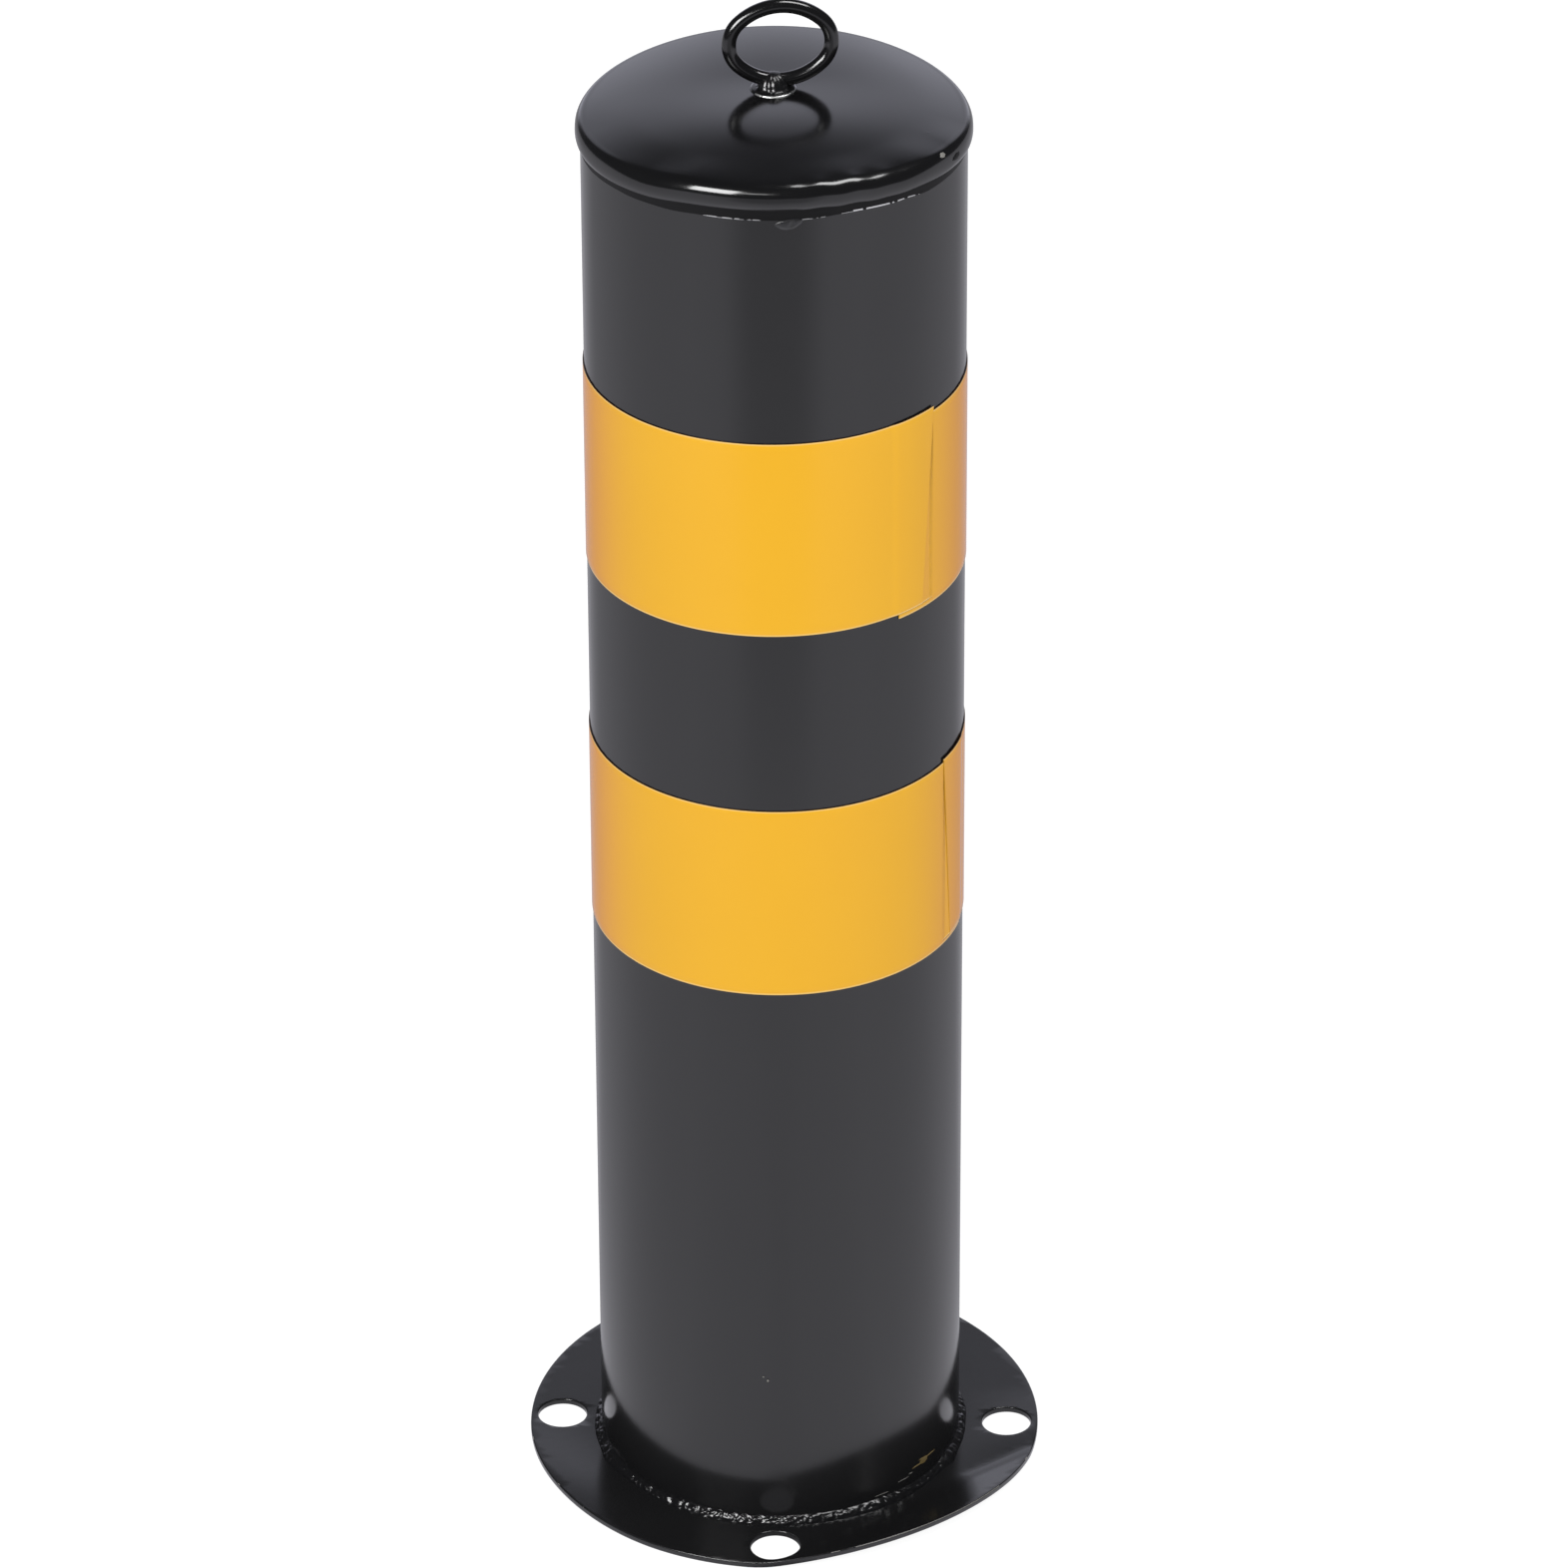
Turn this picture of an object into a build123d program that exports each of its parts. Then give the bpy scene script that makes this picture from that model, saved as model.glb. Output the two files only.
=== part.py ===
from build123d import *
from math import atan, cos, degrees, pi, radians, sin, sqrt, tan
import os

# Fixed steel parking bollard with a lifting ring, in millimetres.
# The origin is the centre of the bolt circle on the underside of the flange, and +Z is up.
# The front faces -Y. Directions are degrees in plan, from +X towards +Y.

# Tube, which stands on the flange a little off its centre
tube_diameter = 114.0
tube_wall = 2.0
tube_length = 460.0
tube_offset_x = -1.2
tube_offset_y = -1.0

# Fillet weld round the foot of the tube, with ripples
base_weld_leg = 2.4
base_weld_ripple = 4.3
base_weld_notch = 0.4
base_weld_notch_share = 0.4

# Flange: a blanked ring with a bolt circle in the rim outside the tube and a ledge inside its bore
plate_thickness = 2.0
bolt_tube_distance = 14.0
bolt_edge_distance = 10.0
bolt_hole_diameter = 15.5
bolt_count = 4
centre_ledge = 7.0

# The front right rim has been bent up just outside the weld
fold_direction = -52.0
fold_clearance = 2.1
fold_angle = 16.0
fold_radius = 6.0

# Pressed cap: a shallow dish whose knuckle seats on the top edge of the tube
cap_sheet = 1.4
cap_clearance = 0.1
cap_skirt = 3.0
cap_knuckle_radius = 4.9
cap_rise = 14.2

# Seam weld under the rim of the cap, and the tack weld at the front
seam_leg = 1.3
seam_drop = 2.2
tack_direction = -84.0
tack_width = 7.5
tack_drop = 2.2
tack_proud = 1.4
tack_bevel = 0.7

# Lifting ring: round bar bent to a low oval that stands upright, leans back a little, and its weld
ring_width = 34.6
ring_height = 27.1
ring_bar_diameter = 4.3
ring_side_radius = 9.0
ring_lean = 5.0
ring_turn = 9.9
ring_offset = 2.1
ring_gap = 0.4
puddle_diameter = 12.5
puddle_height = 0.8
puddle_edge = 1.6
crown_diameter = 7.4
crown_height = 5.4
crown_shoulder = 2.4
crown_taper = 1.5

# Reflective tape, wound once round the tube with its end lapped over its start
tape_thickness = 0.25
tape_film = 0.1
tape_width = 64.4
tape_lap = 12.0
tape_climb = 3.0
tape_step = 1.0
tape_end_skew = 4.4
upper_tape_height = 318.8
upper_tape_rise = 1.6
upper_tape_end = -36.0
lower_tape_height = 195.7
lower_tape_rise = 1.2
lower_tape_end = -24.0

# Sizes that follow from the ones above
tube_radius = tube_diameter / 2
tube_top = plate_thickness + tube_length
bolt_circle_radius = tube_radius + bolt_tube_distance
flange_radius = bolt_circle_radius + bolt_edge_distance
centre_hole_radius = tube_radius - tube_wall - centre_ledge
tube_base = Plane(origin=(tube_offset_x, tube_offset_y, 0))
tube_foot = tube_base.offset(plate_thickness)
tube_axis = Axis(tube_base.origin, (0, 0, 1))
tube_section = Plane(origin=tube_base.origin, x_dir=(1, 0, 0), z_dir=(0, -1, 0))


def plan_direction(direction):
    """The horizontal unit vector of a direction in plan."""
    return Vector(cos(radians(direction)), sin(radians(direction)), 0)


# The bent sheet's section lies across the fold. It is drawn out along the fold and trimmed to a disc.
# Only its outline is round, so the bent rim keeps the disc's edge in plan.
fold_distance = tube_radius + base_weld_leg + fold_clearance
sheet_end = (2 * flange_radius, (2 * flange_radius - fold_distance) * tan(radians(fold_angle)))
fold_section = Plane(
    origin=(0, 0, 0),
    x_dir=plan_direction(fold_direction),
    z_dir=plan_direction(fold_direction - 90),
)
with BuildPart() as base_flange:
    with BuildSketch(fold_section):
        with BuildLine():
            FilletPolyline(
                (-2 * flange_radius, 0), (fold_distance, 0), sheet_end, radius=fold_radius
            )
            offset(amount=plate_thickness, side=Side.LEFT)
        make_face()
    extrude(amount=2 * flange_radius, both=True)
    with BuildSketch():
        Circle(flange_radius)
    extrude(amount=flange_radius, mode=Mode.INTERSECT)
    with BuildSketch():
        Circle(centre_hole_radius)
        with PolarLocations(bolt_circle_radius, bolt_count):
            Circle(bolt_hole_diameter / 2)
    extrude(amount=flange_radius, mode=Mode.SUBTRACT)
base_flange.part.label = "base_flange"

with BuildPart() as post_tube:
    with BuildSketch(tube_foot):
        Circle(tube_radius)
        Circle(tube_radius - tube_wall, mode=Mode.SUBTRACT)
    extrude(amount=tube_length)
post_tube.part.label = "post_tube"

# The bead is a plain fillet with a slanted band notched out of it between one ripple and the next.
ripple_count = round(tube_diameter * pi / base_weld_ripple)
ripple_angle = 360 / ripple_count
notch_leg = base_weld_leg - base_weld_notch
with BuildPart() as weld_notch:
    with BuildSketch(tube_section):
        with BuildLine():
            Polyline(
                (tube_radius - notch_leg, plate_thickness + 2 * notch_leg),
                (tube_radius + 2 * notch_leg, plate_thickness - notch_leg),
                (tube_radius + 2 * base_weld_leg, plate_thickness),
                (tube_radius, plate_thickness + 2 * base_weld_leg),
                close=True,
            )
        make_face()
    revolve(axis=tube_axis, revolution_arc=base_weld_notch_share * ripple_angle)
with BuildPart() as base_weld:
    with BuildSketch(tube_section):
        with BuildLine():
            Polyline(
                (tube_radius, plate_thickness),
                (tube_radius + base_weld_leg, plate_thickness),
                (tube_radius, plate_thickness + base_weld_leg),
                close=True,
            )
        make_face()
    revolve(axis=tube_axis)
    notches = [
        weld_notch.part.rotate(tube_axis, index * ripple_angle) for index in range(ripple_count)
    ]
    add(notches, mode=Mode.SUBTRACT)
base_weld.part.label = "base_weld"

# The dome and the knuckle are concentric inside and out, so the sheet has one thickness throughout.
# The inner knuckle rests on the outer corner of the tube's top edge.
cap_radius = tube_radius + cap_clearance + cap_sheet
knuckle_ring_radius = cap_radius - cap_knuckle_radius
inner_knuckle_radius = cap_knuckle_radius - cap_sheet
seat_depth = sqrt(inner_knuckle_radius**2 - (tube_radius - knuckle_ring_radius) ** 2)
knuckle_height = tube_top - seat_depth
cap_rim = knuckle_height - cap_skirt
cap_top = cap_rim + cap_rise
dome_rise = cap_top - knuckle_height
dome_radius = (knuckle_ring_radius**2 + dome_rise**2 - cap_knuckle_radius**2) / (
    2 * (dome_rise - cap_knuckle_radius)
)
dome_centre = cap_top - dome_radius


def dish(depth):
    """The solid inside the cap's outer face moved in by a depth: a round-edged drum under a dome."""
    knuckle = cap_knuckle_radius - depth
    dome = dome_radius - depth
    drum_radius = knuckle_ring_radius + knuckle
    reach = dome / (dome - knuckle)
    touch_radius = knuckle_ring_radius * reach
    touch_height = dome_centre + (knuckle_height - dome_centre) * reach
    with BuildPart() as crown:
        with BuildSketch(tube_base.offset(touch_height)):
            Circle(touch_radius)
        extrude(amount=cap_rise)
        with Locations(tube_base.offset(dome_centre)):
            Sphere(dome, rotation=(90, 0, 0), mode=Mode.INTERSECT)
    with BuildPart() as drum:
        with BuildSketch(tube_section):
            with BuildLine():
                skirt = Line((drum_radius, cap_rim), (drum_radius, knuckle_height))
                corner = TangentArc(skirt @ 1, (touch_radius, touch_height), tangent=(0, 1))
                Polyline(corner @ 1, (0, touch_height), (0, cap_rim), skirt @ 0)
            make_face()
        revolve(axis=tube_axis)
        add(crown.part)
    return drum.part


cap_outside = dish(0)
cap_inside = dish(cap_sheet)
with BuildPart() as top_cap:
    add(cap_outside)
    add(cap_inside, mode=Mode.SUBTRACT)
top_cap.part.label = "top_cap"

# The seam weld fills the corner between the cap's lower edge and the tube.
with BuildPart() as cap_seam_weld:
    with BuildSketch(tube_section):
        with BuildLine():
            Polyline(
                (tube_radius, cap_rim),
                (tube_radius + cap_clearance + seam_leg, cap_rim),
                (tube_radius, cap_rim - seam_drop),
                close=True,
            )
        make_face()
    revolve(axis=tube_axis)
cap_seam_weld.part.label = "cap_seam_weld"

# The tack is a flattened drop of weld metal that hangs from the seam on the tube's face.
tack_face = tube_radius * plan_direction(tack_direction) + tube_base.origin
tack_plane = Plane(
    origin=tack_face + Vector(0, 0, cap_rim - seam_drop),
    x_dir=plan_direction(tack_direction + 90),
    z_dir=plan_direction(tack_direction),
)
tack_axis = Axis(tack_face, plan_direction(tack_direction))
with BuildPart() as cap_tack_weld:
    with BuildSketch(tack_plane):
        with BuildLine():
            drop_edge = ThreePointArc((-tack_width / 2, 0), (0, -tack_drop), (tack_width / 2, 0))
            Line(drop_edge @ 1, drop_edge @ 0)
        make_face()
    extrude(amount=tack_proud)
    chamfer(faces().sort_by(tack_axis)[-1].edges().filter_by(GeomType.CIRCLE), tack_bevel)
    with BuildSketch(tube_base):
        Circle(tube_radius)
    extrude(amount=tube_top, mode=Mode.SUBTRACT)
cap_tack_weld.part.label = "cap_tack_weld"

# The ring's lowest point stands just clear of the dome on the tube's axis, inside its weld.
# The bar's centre line is an oval of four arcs: two flat ones above and below, two tight ones at the sides.
ring_bar_radius = ring_bar_diameter / 2
oval_reach = ring_width / 2 - ring_bar_radius
oval_rise = ring_height / 2 - ring_bar_radius
side_centre = oval_reach - ring_side_radius
flat_radius = (side_centre**2 + oval_rise**2 - ring_side_radius**2) / (
    2 * (oval_rise - ring_side_radius)
)
flat_centre = flat_radius - oval_rise
flat_half_angle = degrees(atan(side_centre / flat_centre))
ring_across = plan_direction(ring_turn)
ring_back = plan_direction(ring_turn + 90)
ring_up = cos(radians(ring_lean)) * Vector(0, 0, 1) + sin(radians(ring_lean)) * ring_back
ring_foot = tube_base.origin + Vector(0, 0, cap_top + ring_gap + ring_bar_radius)
ring_plane = Plane(
    origin=ring_foot + ring_offset * ring_across + oval_rise * ring_up,
    x_dir=ring_across,
    z_dir=ring_across.cross(ring_up),
)
with BuildPart() as lifting_ring:
    with BuildLine(ring_plane) as ring_path:
        CenterArc((0, -flat_centre), flat_radius, 90 - flat_half_angle, 2 * flat_half_angle)
        CenterArc((-side_centre, 0), ring_side_radius, 90 + flat_half_angle, 180 - 2 * flat_half_angle)
        CenterArc((0, flat_centre), flat_radius, 270 - flat_half_angle, 2 * flat_half_angle)
        CenterArc((side_centre, 0), ring_side_radius, flat_half_angle - 90, 180 - 2 * flat_half_angle)
    with BuildSketch(Plane(origin=ring_path.line @ 0, z_dir=ring_path.line % 0)):
        Circle(ring_bar_radius)
    sweep()
lifting_ring.part.label = "lifting_ring"

# The ring's weld is a low puddle on the dome with a crown that closes over the bar.
with BuildPart() as ring_weld:
    with BuildSketch(tube_base.offset(cap_top - cap_sheet / 2)):
        Circle(puddle_diameter / 2)
    extrude(amount=cap_sheet / 2 + puddle_height)
    chamfer(edges().group_by(Axis.Z)[-1], puddle_height, puddle_edge)
    with BuildSketch(tube_base.offset(cap_top)):
        Circle(crown_diameter / 2)
    extrude(amount=crown_height)
    chamfer(edges().group_by(Axis.Z)[-1], crown_shoulder, crown_taper)
    add(top_cap.part, mode=Mode.SUBTRACT)
    add(lifting_ring.part, mode=Mode.SUBTRACT)
ring_weld.part.label = "ring_weld"


def tape_layer(start, turn, hand, height, rise, inner_radius):
    """A strip that climbs steadily round the tube from a start direction, through a turn in degrees.

    The strip is a helical ramp as high as the tape is wide, trimmed to the layer's thickness.
    """
    climb = rise * turn / 360
    rails = [
        Edge.make_helix(rise, climb, radius, lefthand=hand < 0)
        for radius in (inner_radius - tube_wall, inner_radius + tube_wall)
    ]
    ramp = Solid.extrude(Face.make_surface_from_curves(*rails), Vector(0, 0, tape_width))
    ramp = ramp.rotate(Axis.Z, start).translate(tube_base.origin + Vector(0, 0, height))
    with BuildPart() as layer:
        with BuildSketch(tube_base):
            Circle(inner_radius + tape_thickness)
            Circle(inner_radius, mode=Mode.SUBTRACT)
        extrude(amount=tube_top)
        add(ramp, mode=Mode.INTERSECT)
    return layer.part


def wound_tape(label, height, rise, end, hand):
    """One turn of tape whose tail steps up over its own start and ends in a slanted cut.

    The hand is 1 where the tape is wound towards increasing directions and -1 the other way.
    """
    lap_angle = degrees_round(tape_lap)
    climb_angle = degrees_round(tape_climb)
    under_turn = 360 - degrees_round(tape_step)
    tail_start = under_turn - climb_angle
    spare_angle = degrees_round(tape_width * tan(radians(tape_end_skew)))
    start = end - hand * lap_angle
    under_radius = tube_radius + tape_film
    under = tape_layer(start, under_turn, hand, height, rise, under_radius)
    tail = tape_layer(
        start + hand * tail_start,
        360 - tail_start + lap_angle + spare_angle,
        hand,
        height + rise * tail_start / 360,
        rise,
        under_radius + tape_thickness,
    )
    out = plan_direction(end)
    back = plan_direction(end + 90) * -hand
    lean = radians(tape_end_skew)
    cut = Plane(
        origin=tube_base.origin + tube_radius * out + Vector(0, 0, height + tape_width / 2),
        x_dir=out,
        z_dir=back * cos(lean) + Vector(0, 0, sin(lean)),
    )
    with BuildPart() as trimmed:
        add(tail)
        split(bisect_by=cut, keep=Keep.TOP)
    with BuildPart() as tape:
        add(under)
        add(trimmed.part)
    tape.part.label = label
    return tape


def degrees_round(length):
    """The angle that a length takes up round the tube."""
    return length / tube_radius * 180 / pi


upper_tape = wound_tape("upper_tape", upper_tape_height, upper_tape_rise, upper_tape_end, 1)
lower_tape = wound_tape("lower_tape", lower_tape_height, lower_tape_rise, lower_tape_end, -1)

pieces = (
    base_flange,
    post_tube,
    base_weld,
    top_cap,
    cap_seam_weld,
    cap_tack_weld,
    lifting_ring,
    ring_weld,
    upper_tape,
    lower_tape,
)
os.makedirs("parts", exist_ok=True)
for piece in pieces:
    export_step(piece.part, f"parts/{piece.part.label}.step")
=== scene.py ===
import bmesh
import bpy
import math
from mathutils import Matrix, Vector, noise


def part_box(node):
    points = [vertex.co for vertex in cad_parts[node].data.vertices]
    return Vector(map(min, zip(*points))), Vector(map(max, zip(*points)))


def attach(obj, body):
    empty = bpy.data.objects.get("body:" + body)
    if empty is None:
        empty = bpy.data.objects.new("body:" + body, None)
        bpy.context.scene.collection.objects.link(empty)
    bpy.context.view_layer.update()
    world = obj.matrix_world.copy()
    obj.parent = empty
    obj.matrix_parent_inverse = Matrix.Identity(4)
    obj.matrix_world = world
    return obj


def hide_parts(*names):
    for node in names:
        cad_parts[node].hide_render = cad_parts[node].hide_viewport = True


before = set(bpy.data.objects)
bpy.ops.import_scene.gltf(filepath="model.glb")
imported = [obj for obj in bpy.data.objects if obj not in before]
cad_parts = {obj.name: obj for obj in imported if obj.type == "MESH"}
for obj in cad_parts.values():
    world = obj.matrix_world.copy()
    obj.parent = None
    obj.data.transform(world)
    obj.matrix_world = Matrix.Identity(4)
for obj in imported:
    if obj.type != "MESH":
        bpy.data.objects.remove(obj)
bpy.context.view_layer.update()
scene = bpy.context.scene
mm = 0.001

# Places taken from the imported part, in metres
tubeLow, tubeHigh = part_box("post_tube")
capLow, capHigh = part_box("top_cap")
flangeLow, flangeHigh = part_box("base_flange")
tubeCentre = Vector(((tubeLow.x + tubeHigh.x) / 2, (tubeLow.y + tubeHigh.y) / 2, 0))
tubeRadius = (tubeHigh.x - tubeLow.x) / 2
capRadius = (capHigh.x - capLow.x) / 2
plateTop = tubeLow.z
frontTurn = 2.4  # degrees that the photograph's front lies round from -Y towards +X


def linear(hexColour):  # sRGB hex to the linear colour that shaders take
    channels = [int(hexColour[i:i + 2], 16) / 255 for i in (1, 3, 5)]
    values = [c / 12.92 if c <= 0.04045 else ((c + 0.055) / 1.055) ** 2.4 for c in channels]
    return (*values, 1)


def front(degrees):  # direction in plan, in degrees round from the photograph's front towards +X
    angle = math.radians(degrees - 90 + frontTurn)
    return Vector((math.cos(angle), math.sin(angle), 0))


def smoothStep(low, high, value):
    t = min(max((value - low) / (high - low), 0), 1)
    return t * t * (3 - 2 * t)


def hump(centre, width, value):  # 1 at the centre, 0 beyond the width on either side
    return smoothStep(1, 0, abs((value - centre + 180) % 360 - 180) / width)


def blend(points, degrees):  # a smooth curve through (degrees from the front, value) points
    degrees = (degrees + 180) % 360 - 180
    for (low, first), (high, second) in zip(points, points[1:]):
        if degrees <= high:
            return first + (second - first) * smoothStep(low, high, degrees)
    return points[-1][1]


def addNode(tree, kind, settings=None, links=None):
    node = tree.nodes.new(kind)
    for name, value in (settings or {}).items():
        if isinstance(name, str) and hasattr(node, name):
            setattr(node, name, value)
        else:
            node.inputs[name].default_value = value
    for name, output in (links or {}).items():
        tree.links.new(output, node.inputs[name])
    return node


# Camera, at the photograph's viewing angle
cameraView = {
    "side": 2.063 * mm,
    "distance": 2308.28 * mm,
    "height": 1578.46 * mm,
    "pitch": 30.169,  # degrees down
    "roll": -0.2613,
    "lens": 200.23,
}


def makeCamera(view):
    camera = bpy.data.objects.new("camera", bpy.data.cameras.new("camera"))
    camera.data.lens = view["lens"]
    camera.data.sensor_width = 36
    camera.data.clip_start = 0.1
    camera.data.clip_end = 50
    place = Matrix.Translation((view["side"], -view["distance"], view["height"]))
    aim = Matrix.Rotation(math.radians(90 - view["pitch"]), 4, "X")
    roll = Matrix.Rotation(math.radians(view["roll"]), 4, "Z")
    turn = Matrix.Rotation(math.radians(frontTurn), 4, "Z")
    camera.matrix_world = Matrix.Translation(tubeCentre) @ turn @ place @ aim @ roll
    scene.collection.objects.link(camera)
    scene.camera = camera


makeCamera(cameraView)
scene.view_settings.view_transform = "Standard"
print("camera ready")


def gloss(name, look):  # black enamel, sprayed wet: a near-black coat that shows sharp reflections
    material = bpy.data.materials.new(name)
    material.use_nodes = True
    tree = material.node_tree
    shader = tree.nodes["Principled BSDF"]
    place = addNode(tree, "ShaderNodeTexCoord").outputs["Object"]
    peel = addNode(tree, "ShaderNodeTexNoise", {
        "Scale": 1 / look["peelSize"], "Detail": 2, "Roughness": 0.5}, {"Vector": place})
    sag = addNode(tree, "ShaderNodeTexNoise", {
        "Scale": 1 / look["sagSize"], "Detail": 1}, {"Vector": place})
    grit = addNode(tree, "ShaderNodeTexVoronoi", {
        "Scale": 1 / look["gritSpacing"], "Randomness": 1}, {"Vector": place})
    nib = addNode(tree, "ShaderNodeMapRange", {
        "From Min": 0, "From Max": look["gritSize"] / look["gritSpacing"], "To Min": 1, "To Max": 0,
    }, {"Value": grit.outputs["Distance"]})
    chosen = addNode(tree, "ShaderNodeMath", {
        "operation": "GREATER_THAN", 1: 1 - look["gritShare"]}, {0: grit.outputs["Color"]})
    nibs = addNode(tree, "ShaderNodeMath", {"operation": "MULTIPLY"}, {
        0: nib.outputs["Result"], 1: chosen.outputs["Value"]})
    sagBump = addNode(tree, "ShaderNodeBump", {"Strength": 1, "Distance": look["sagDepth"]}, {
        "Height": sag.outputs["Fac"]})
    peelBump = addNode(tree, "ShaderNodeBump", {"Strength": 1, "Distance": look["peelDepth"]}, {
        "Height": peel.outputs["Fac"], "Normal": sagBump.outputs["Normal"]})
    nibBump = addNode(tree, "ShaderNodeBump", {"Strength": 1, "Distance": look["gritDepth"]}, {
        "Height": nibs.outputs["Value"], "Normal": peelBump.outputs["Normal"]})
    dust = addNode(tree, "ShaderNodeTexNoise", {
        "Scale": 1 / look["dustSize"], "Detail": 4, "Roughness": 0.6}, {"Vector": place})
    colour = addNode(tree, "ShaderNodeMix", {
        "data_type": "RGBA", 6: linear(look["colour"]), 7: linear(look["dustColour"])}, {
        "Factor": dust.outputs["Fac"]})
    rough = addNode(tree, "ShaderNodeMapRange", {
        "From Min": 0.3, "From Max": 0.7, "To Min": look["roughness"][0],
        "To Max": look["roughness"][1]}, {"Value": dust.outputs["Fac"]})
    tree.links.new(colour.outputs[2], shader.inputs["Base Color"])
    tree.links.new(rough.outputs["Result"], shader.inputs["Roughness"])
    tree.links.new(nibBump.outputs["Normal"], shader.inputs["Normal"])
    shader.inputs["IOR"].default_value = look["ior"]
    shader.inputs["Specular IOR Level"].default_value = look["specular"]
    return material


enamelLook = {
    "colour": "#111112",
    "dustColour": "#161617",
    "dustSize": 40 * mm,
    "roughness": (0.13, 0.18),
    "ior": 1.5,
    "specular": 0.5,
    "peelSize": 2.5 * mm,  # orange peel of a sprayed coat
    "peelDepth": 0.002 * mm,
    "sagSize": 24 * mm,  # slow waves where the wet coat ran
    "sagDepth": 0.02 * mm,
    "gritSpacing": 9 * mm,  # dust nibs caught in the paint
    "gritSize": 0.5 * mm,
    "gritShare": 0.12,
    "gritDepth": 0.06 * mm,
}
# The coats below are copies of one black paint: the cap's and ring's tone, shared by the welds, is set
# darker, the pipe's and plate's lighter and the tack's lighter still, as painted shade and light for how
# bright each part shows.
glossEnamel = gloss("gloss black enamel", enamelLook)
pipeEnamel = gloss("gloss black enamel on pipe", {
    **enamelLook, "colour": "#1A1A1B", "dustColour": "#1E1E1F"})
plateEnamel = gloss("gloss black enamel on plate", {
    **enamelLook, "colour": "#1B1B1C", "dustColour": "#222223", "roughness": (0.14, 0.2),
    "peelDepth": 0.004 * mm})
weldEnamel = gloss("gloss black enamel on weld", {
    **enamelLook, "roughness": (0.18, 0.28), "peelSize": 1.1 * mm, "peelDepth": 0.06 * mm,
    "gritShare": 0.3})
# a darker, duller copy of the enamel that paints the shade in the seam under the cap's rim and on the pit
paintedShadeEnamel = gloss("dull black enamel, sprayed thin over the seam", {
    **enamelLook, "colour": "#0D0D0E", "dustColour": "#121213", "roughness": (0.4, 0.52),
    "specular": 0.14, "peelSize": 1.8 * mm, "peelDepth": 0.02 * mm})
tackEnamel = gloss("gloss black enamel on tack weld", {
    **enamelLook, "colour": "#222224", "dustColour": "#2C2C2E", "roughness": (0.2, 0.3)})


def plain(name, colour, roughness, metallic=0):
    material = bpy.data.materials.new(name)
    material.use_nodes = True
    shader = material.node_tree.nodes["Principled BSDF"]
    shader.inputs["Base Color"].default_value = linear(colour)
    shader.inputs["Roughness"].default_value = roughness
    shader.inputs["Metallic"].default_value = metallic
    return material


# Bright bare steel paints glints at weld edges; where the enamel is broken it turns brown or pale and dull,
# and the pale coat also paints the highlight along the plate's rim
glintSteel = plain("bright bare steel, painted glints at weld edges", "#C9C9C8", 0.35, 1)
scuffed = plain("old brown scuff in the enamel", "#75643A", 0.6)
paleMarksAndRimHighlight = plain("pale scratches and pinholes in the enamel", "#8A8883", 0.6)


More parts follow.
